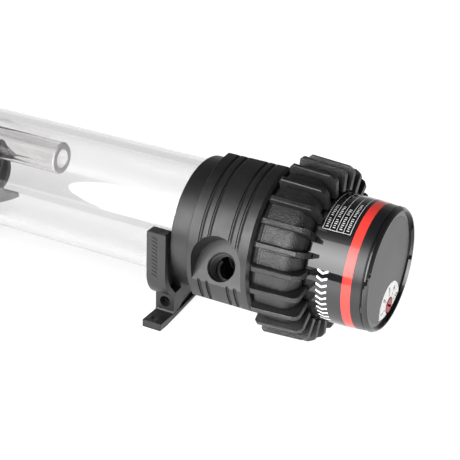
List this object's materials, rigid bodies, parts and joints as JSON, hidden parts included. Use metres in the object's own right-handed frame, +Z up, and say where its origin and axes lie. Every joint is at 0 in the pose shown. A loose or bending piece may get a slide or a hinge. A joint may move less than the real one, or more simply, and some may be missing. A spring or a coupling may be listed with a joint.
{
  "type": "liquid cooling pump with cylindrical reservoir",
  "caption": "Electric circulation pump with a finned locking ring, on the end of a clear cylindrical reservoir held by two clamping foot brackets.",
  "frame": {"origin": "centre of the rectangle of four foot holes, on the mounting plane under the feet", "axes": "+X along the cylinder axis from the filling cap to the speed dial, +Z up from the feet, -Y the side the outlet port faces"},
  "size_m": [0.2841, 0.0866, 0.0868],
  "materials": {
    "clear_acrylic": "clear polished",
    "satin_black": "satin turned",
    "seal_rubber": "matte",
    "housing_black": "moulded",
    "gloss_black": "high gloss",
    "stripe_red": "gloss print",
    "label_black": "gloss print with white rules",
    "disc_grey": "gloss",
    "sticker_white": "coated paper",
    "dial_red": "moulded",
    "component_dark": "moulded",
    "board_green": "solder mask",
    "lamination_steel": "stacked sheet",
    "copper_wire": "enamelled winding",
    "stainless": "drawn",
    "bearing_ceramic": "polished",
    "magnet_ferrite": "ground",
    "impeller_plastic": "moulded",
    "washer_white": "smooth",
    "ring_black": "fine spark-eroded texture",
    "bracket_black": "fine texture",
    "screw_black": "black oxide"
  },
  "bodies": {
    "root": {"reservoir_tube": "clear_acrylic", "return_tube": "clear_acrylic", "pump_top": "satin_black", "top_cap": "satin_black", "tube_seal_pump_end": "seal_rubber", "tube_seal_cap_end": "seal_rubber", "flange_seal": "seal_rubber", "motor_housing": "housing_black", "can_sleeve": "gloss_black", "red_stripe": "stripe_red", "data_label": "label_black", "rear_bezel": "gloss_black", "rear_disc": "disc_grey", "dial_sticker": "sticker_white", "potentiometer": "component_dark", "control_board": "board_green", "board_components": "component_dark", "stator_core": "lamination_steel", "stator_coils": "copper_wire", "rotor_cup": "stainless", "bearing_post": "stainless", "bearing_ball": "bearing_ceramic", "cable_gland": "seal_rubber", "pump_end_bracket_base": "bracket_black", "pump_end_front_arm": "bracket_black", "pump_end_rear_arm": "bracket_black", "cap_end_bracket_base": "bracket_black", "cap_end_front_arm": "bracket_black", "cap_end_rear_arm": "bracket_black", "clamp_screws": "screw_black", "clamp_nuts": "screw_black"},
    "impeller": {"impeller": "impeller_plastic", "rotor_magnet": "magnet_ferrite"},
    "speed_dial": {"speed_dial": "dial_red"},
    "slip_washer": {"slip_washer": "washer_white"},
    "locking_ring": {"locking_ring": "ring_black"},
    "fill_plug_seal": {"fill_plug_seal": "seal_rubber"},
    "fill_plug": {"fill_plug": "satin_black"},
    "spare_plug_seal": {"spare_plug_seal": "seal_rubber"},
    "spare_plug": {"spare_plug": "satin_black"}
  },
  "joints": [
    {"name": "impeller_spin", "type": "hinge", "parent": "root", "child": "impeller", "pos_m": [0.118, 0, 0.0435], "axis": [1, 0, 0], "continuous": true},
    {"name": "dial_turn", "type": "hinge", "parent": "root", "child": "speed_dial", "pos_m": [0.17315, 0.0048, 0.02255], "axis": [-1, 0, 0], "range_deg": [-43, 130]},
    {"name": "ring_travel", "type": "slide", "parent": "root", "child": "slip_washer", "axis": [1, 0, 0], "range_m": [0, 0.00901]},
    {"name": "ring_turn", "type": "hinge", "parent": "slip_washer", "child": "locking_ring", "pos_m": [0.13, 0, 0.0435], "axis": [1, 0, 0], "range_deg": [0, 1080]},
    {"name": "fill_plug_travel", "type": "slide", "parent": "root", "child": "fill_plug_seal", "axis": [-1, 0, 0], "range_m": [0, 0.00803]},
    {"name": "fill_plug_turn", "type": "hinge", "parent": "fill_plug_seal", "child": "fill_plug", "pos_m": [-0.105, 0.01143, 0.0369], "axis": [-1, 0, 0], "range_deg": [0, 2160]},
    {"name": "spare_plug_travel", "type": "slide", "parent": "root", "child": "spare_plug_seal", "axis": [-1, 0, 0], "range_m": [0, 0.00803]},
    {"name": "spare_plug_turn", "type": "hinge", "parent": "spare_plug_seal", "child": "spare_plug", "pos_m": [-0.105, -0.01143, 0.0369], "axis": [-1, 0, 0], "range_deg": [0, 2160]}
  ],
  "couplings": [
    {"joint": "ring_travel", "follows": "ring_turn", "m_per_rad": 0.00047746},
    {"joint": "fill_plug_travel", "follows": "fill_plug_turn", "m_per_rad": 0.00021279},
    {"joint": "spare_plug_travel", "follows": "spare_plug_turn", "m_per_rad": 0.00021279}
  ]
}
